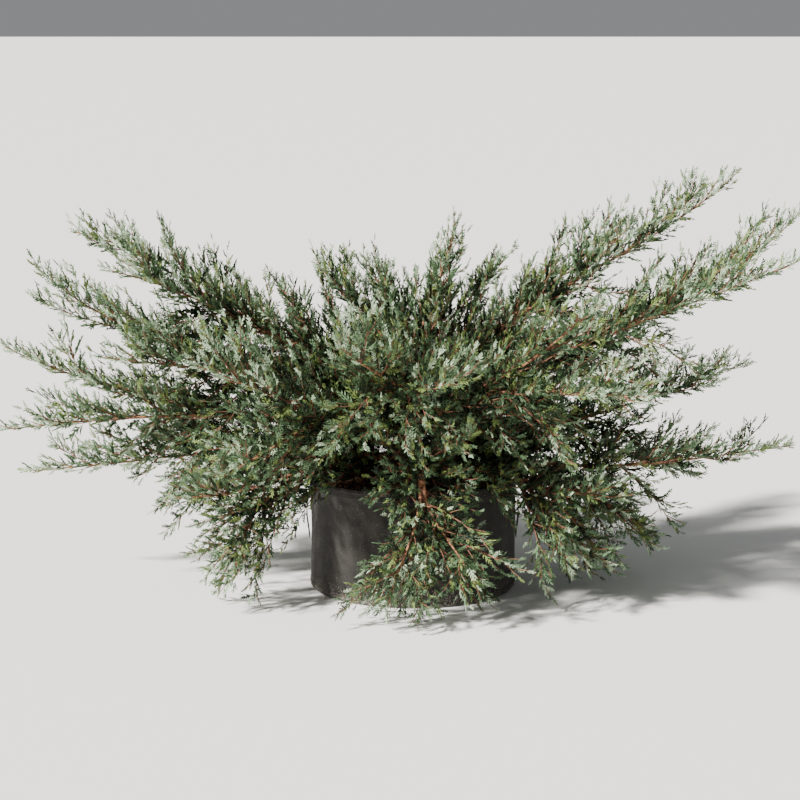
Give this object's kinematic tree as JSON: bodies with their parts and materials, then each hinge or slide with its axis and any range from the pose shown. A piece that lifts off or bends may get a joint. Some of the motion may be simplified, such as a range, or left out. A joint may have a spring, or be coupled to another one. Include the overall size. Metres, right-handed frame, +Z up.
{
  "type": "potted hetzii juniper",
  "caption": "Wide, arching grey-green juniper shrub with whip-like plumes, growing in a squat black felt grow bag filled with bark mix.",
  "frame": {"origin": "centre of the grow bag's flat underside, on the ground", "axes": "+Z up, +X to the right of a viewer in front of the plant and along its widest spread, -Y towards that viewer"},
  "size_m": [1.6824, 1.0163, 0.863],
  "materials": {
    "felt": "matte, gritty non-woven felt",
    "webbing": "dull woven strap",
    "bark_mix": "rough, damp bark and grit",
    "bark": "dry, fibrous, peeling in strips",
    "foliage": "matte, waxy grey-green"
  },
  "bodies": {
    "root": {"grow_bag": "felt", "bark_mix": "bark_mix", "handle_left": "webbing", "handle_right": "webbing", "trunk": "bark", "limb_left_high": "bark", "limb_left_long": "bark", "limb_left_middle": "bark", "limb_left_low": "bark", "limb_left_front": "bark", "limb_front_left": "bark", "limb_front_high": "bark", "limb_front_low": "bark", "limb_front_right": "bark", "limb_right_front": "bark", "limb_right_low": "bark", "limb_right_back": "bark", "limb_right_long": "bark", "limb_right_high": "bark", "limb_back_right": "bark", "limb_back": "bark", "limb_back_left": "bark", "mass_left_high_lead": "foliage", "mass_left_high_side": "foliage", "mass_left_long_lead": "foliage", "mass_left_long_side": "foliage", "mass_left_middle_lead": "foliage", "mass_left_middle_side": "foliage", "mass_left_low_lead": "foliage", "mass_left_low_side": "foliage", "mass_left_front_lead": "foliage", "mass_left_front_side": "foliage", "mass_front_left_lead": "foliage", "mass_front_left_side": "foliage", "mass_front_high_lead": "foliage", "mass_front_high_side": "foliage", "mass_front_low_lead": "foliage", "mass_front_low_side": "foliage", "mass_front_right_lead": "foliage", "mass_front_right_side": "foliage", "mass_right_front_lead": "foliage", "mass_right_front_side": "foliage", "mass_right_low_lead": "foliage", "mass_right_low_side": "foliage", "mass_right_back_lead": "foliage", "mass_right_back_side": "foliage", "mass_right_long_lead": "foliage", "mass_right_long_side": "foliage", "mass_right_high_lead": "foliage", "mass_right_high_side": "foliage", "mass_back_right_lead": "foliage", "mass_back_right_side": "foliage", "mass_back_lead": "foliage", "mass_back_side": "foliage", "mass_back_left_lead": "foliage", "mass_back_left_side": "foliage", "mass_crown_left": "foliage", "mass_crown_top": "foliage", "mass_crown_right": "foliage", "mass_crown_back": "foliage"}
  },
  "joints": []
}
